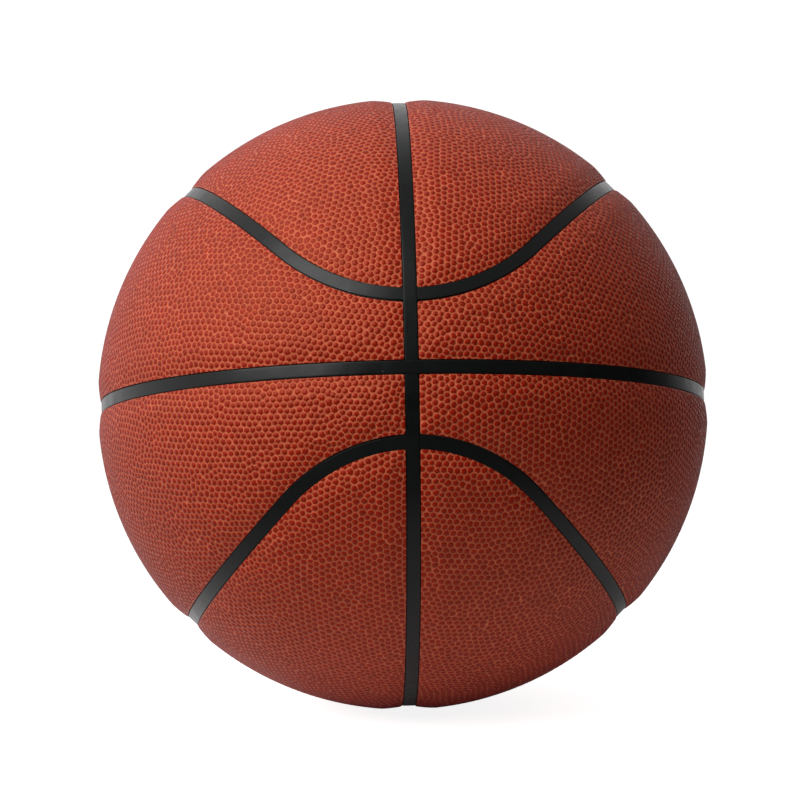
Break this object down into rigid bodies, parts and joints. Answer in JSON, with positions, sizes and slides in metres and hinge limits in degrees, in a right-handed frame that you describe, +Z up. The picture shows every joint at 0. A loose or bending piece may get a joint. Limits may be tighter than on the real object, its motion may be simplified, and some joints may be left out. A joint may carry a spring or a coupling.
{
  "type": "basketball",
  "caption": "Inflated basketball with pebbled leather panels, black rubber channel strips in the seams, a wound carcass, a bladder and a needle valve with a pull-out core.",
  "frame": {"origin": "centre of the ball", "axes": "+Z up as the ball lies, +X out along the needle valve, -Y towards the viewer; the crossing of the seams at the front is lifted 15 degrees above level"},
  "size_m": [0.2408, 0.2408, 0.2408],
  "materials": {
    "cover_leather": "pebbled composite leather, satin",
    "sponge": "open-cell sponge on a cloth scrim",
    "channel_rubber": "smooth satin black rubber",
    "carcass_rubber": "matt moulded rubber",
    "winding_thread": "nylon thread, wound in all directions",
    "bladder_butyl": "smooth butyl",
    "valve_rubber": "moulded rubber",
    "core_rubber": "moulded rubber, lightly greased"
  },
  "bodies": {
    "ball": {"side_panel_upper_right": "cover_leather", "side_panel_upper_left": "cover_leather", "side_panel_lower_right": "cover_leather", "side_panel_lower_left": "cover_leather", "cap_panel_upper_right": "cover_leather", "cap_panel_upper_left": "cover_leather", "cap_panel_lower_right": "cover_leather", "cap_panel_lower_left": "cover_leather", "side_pad_upper_right": "sponge", "side_pad_upper_left": "sponge", "side_pad_lower_right": "sponge", "side_pad_lower_left": "sponge", "cap_pad_upper_right": "sponge", "cap_pad_upper_left": "sponge", "cap_pad_lower_right": "sponge", "cap_pad_lower_left": "sponge", "ring_strip": "channel_rubber", "cross_strip_upper": "channel_rubber", "cross_strip_lower": "channel_rubber", "curved_strip_upper_right": "channel_rubber", "curved_strip_upper_left": "channel_rubber", "curved_strip_lower_right": "channel_rubber", "curved_strip_lower_left": "channel_rubber", "carcass": "carcass_rubber", "thread_winding": "winding_thread", "bladder": "bladder_butyl", "valve_patch": "valve_rubber", "valve_body": "valve_rubber"},
    "core": {"valve_core": "core_rubber"}
  },
  "joints": [
    {"name": "core_pull", "type": "slide", "parent": "ball", "child": "core", "axis": [1, 0, 0], "range_m": [0, 0.014]}
  ]
}
